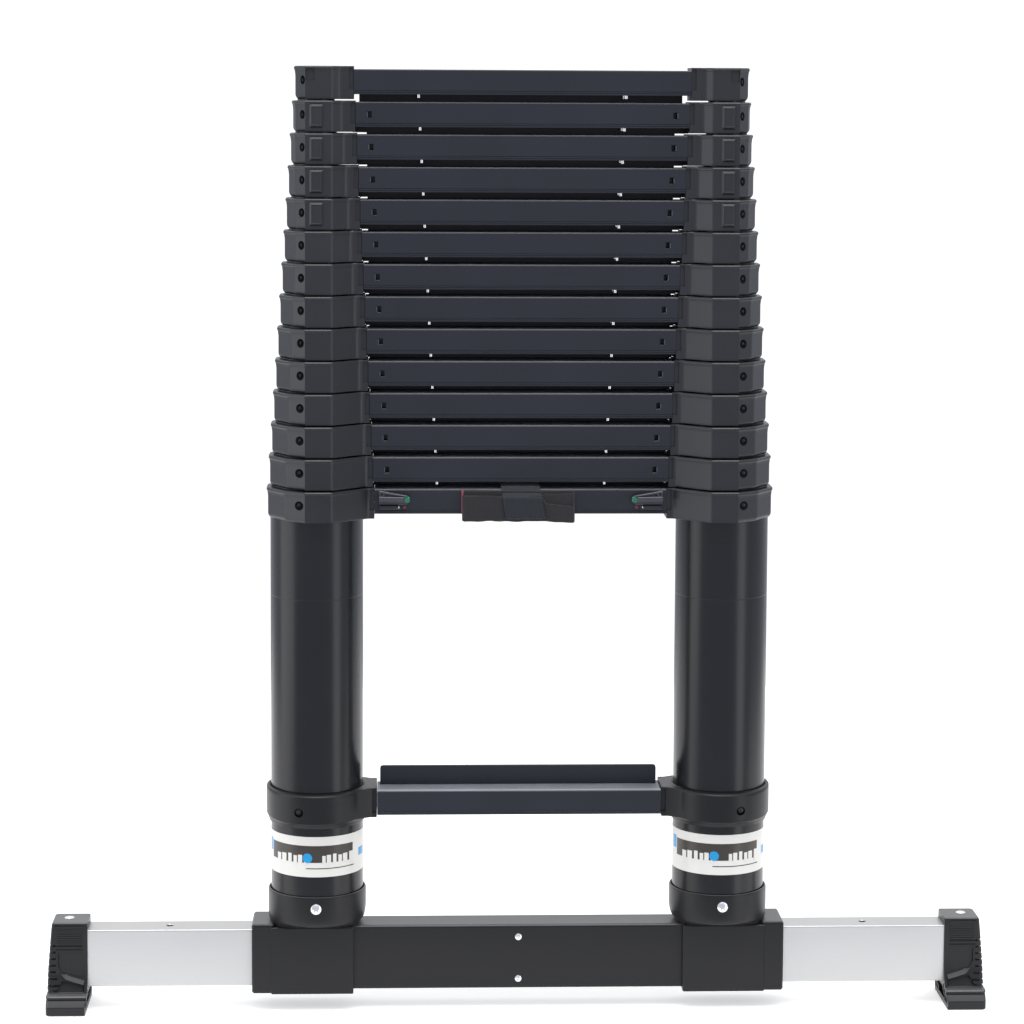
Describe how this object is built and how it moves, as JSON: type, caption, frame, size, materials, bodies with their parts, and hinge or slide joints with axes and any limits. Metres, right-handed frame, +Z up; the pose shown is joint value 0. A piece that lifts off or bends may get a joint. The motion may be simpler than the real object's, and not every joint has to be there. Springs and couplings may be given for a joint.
{
  "type": "telescopic extension ladder",
  "caption": "Telescopic ladder, collapsed: nested tube sections with rungs slide up out of one another, on a stabiliser bar with sliding arms and feet.",
  "frame": {"origin": "on the floor, under the middle of the ladder: the centre of the bounding box's bottom face", "axes": "+Z up along the stiles, +X to the right along the rungs, the front with the release levers and strap faces -Y"},
  "size_m": [0.943, 0.114, 0.9419],
  "materials": {
    "stile": "dark anodised, satin",
    "rung": "dark anodised, brushed satin",
    "collar": "moulded, fine satin texture",
    "base": "moulded, fine texture",
    "sleeve": "black powder coat, satin",
    "kick_plate": "black powder coat, satin",
    "arm": "plain, lightly brushed",
    "steel": "zinc plated",
    "lever": "moulded, satin",
    "indicator": "green, glossy",
    "label": "coated label, satin",
    "strap": "woven webbing with hook and loop faces"
  },
  "bodies": {
    "base": {"stage_01_stile_left": "stile", "stage_01_stile_right": "stile", "stage_01_rung": "rung", "bottom_rung": "rung", "kick_plate": "kick_plate", "strap": "strap", "stabiliser_sleeve": "sleeve", "bottom_collar_left": "collar", "bottom_collar_right": "collar", "base_socket_left": "base", "base_socket_right": "base", "socket_screw_left": "steel", "socket_screw_right": "steel"},
    "stage_02": {"stage_02_stile_left": "stile", "stage_02_stile_right": "stile", "stage_02_rung": "rung"},
    "stage_03": {"stage_03_stile_left": "stile", "stage_03_stile_right": "stile", "stage_03_rung": "rung"},
    "stage_04": {"stage_04_stile_left": "stile", "stage_04_stile_right": "stile", "stage_04_rung": "rung"},
    "stage_05": {"stage_05_stile_left": "stile", "stage_05_stile_right": "stile", "stage_05_rung": "rung"},
    "stage_06": {"stage_06_stile_left": "stile", "stage_06_stile_right": "stile", "stage_06_rung": "rung"},
    "stage_07": {"stage_07_stile_left": "stile", "stage_07_stile_right": "stile", "stage_07_rung": "rung"},
    "stage_08": {"stage_08_stile_left": "stile", "stage_08_stile_right": "stile", "stage_08_rung": "rung"},
    "stage_09": {"stage_09_stile_left": "stile", "stage_09_stile_right": "stile", "stage_09_rung": "rung"},
    "stage_10": {"stage_10_stile_left": "stile", "stage_10_stile_right": "stile", "stage_10_rung": "rung"},
    "stage_11": {"stage_11_stile_left": "stile", "stage_11_stile_right": "stile", "stage_11_rung": "rung"},
    "stage_12": {"stage_12_stile_left": "stile", "stage_12_stile_right": "stile", "stage_12_rung": "rung"},
    "stage_13": {"stage_13_stile_left": "stile", "stage_13_stile_right": "stile", "stage_13_rung": "rung"},
    "stage_14": {"stage_14_stile_left": "stile", "stage_14_stile_right": "stile", "stage_14_rung": "rung"},
    "latch_left": {"release_lever_left": "lever", "lock_pin_left": "steel"},
    "outrigger_left": {"stabiliser_arm_left": "arm", "foot_left": "base"},
    "latch_right": {"release_lever_right": "lever", "lock_pin_right": "steel"},
    "outrigger_right": {"stabiliser_arm_right": "arm", "foot_right": "base"}
  },
  "joints": [
    {"name": "stage_02_slide", "type": "slide", "parent": "base", "child": "stage_02", "axis": [0, 0, 1], "range_m": [0, 0.268]},
    {"name": "stage_03_slide", "type": "slide", "parent": "stage_02", "child": "stage_03", "axis": [0, 0, 1], "range_m": [0, 0.268]},
    {"name": "stage_04_slide", "type": "slide", "parent": "stage_03", "child": "stage_04", "axis": [0, 0, 1], "range_m": [0, 0.268]},
    {"name": "stage_05_slide", "type": "slide", "parent": "stage_04", "child": "stage_05", "axis": [0, 0, 1], "range_m": [0, 0.268]},
    {"name": "stage_06_slide", "type": "slide", "parent": "stage_05", "child": "stage_06", "axis": [0, 0, 1], "range_m": [0, 0.268]},
    {"name": "stage_07_slide", "type": "slide", "parent": "stage_06", "child": "stage_07", "axis": [0, 0, 1], "range_m": [0, 0.268]},
    {"name": "stage_08_slide", "type": "slide", "parent": "stage_07", "child": "stage_08", "axis": [0, 0, 1], "range_m": [0, 0.268]},
    {"name": "stage_09_slide", "type": "slide", "parent": "stage_08", "child": "stage_09", "axis": [0, 0, 1], "range_m": [0, 0.268]},
    {"name": "stage_10_slide", "type": "slide", "parent": "stage_09", "child": "stage_10", "axis": [0, 0, 1], "range_m": [0, 0.268]},
    {"name": "stage_11_slide", "type": "slide", "parent": "stage_10", "child": "stage_11", "axis": [0, 0, 1], "range_m": [0, 0.268]},
    {"name": "stage_12_slide", "type": "slide", "parent": "stage_11", "child": "stage_12", "axis": [0, 0, 1], "range_m": [0, 0.268]},
    {"name": "stage_13_slide", "type": "slide", "parent": "stage_12", "child": "stage_13", "axis": [0, 0, 1], "range_m": [0, 0.268]},
    {"name": "stage_14_slide", "type": "slide", "parent": "stage_13", "child": "stage_14", "axis": [0, 0, 1], "range_m": [0, 0.268]},
    {"name": "release_lever_left_slide", "type": "slide", "parent": "base", "child": "latch_left", "axis": [1, 0, 0], "range_m": [0, 0.01], "stiffness_N_per_m": 600},
    {"name": "outrigger_left_slide", "type": "slide", "parent": "base", "child": "outrigger_left", "axis": [1, 0, 0], "range_m": [0, 0.15]},
    {"name": "release_lever_right_slide", "type": "slide", "parent": "base", "child": "latch_right", "axis": [-1, 0, 0], "range_m": [0, 0.01], "stiffness_N_per_m": 600},
    {"name": "outrigger_right_slide", "type": "slide", "parent": "base", "child": "outrigger_right", "axis": [-1, 0, 0], "range_m": [0, 0.15]}
  ]
}
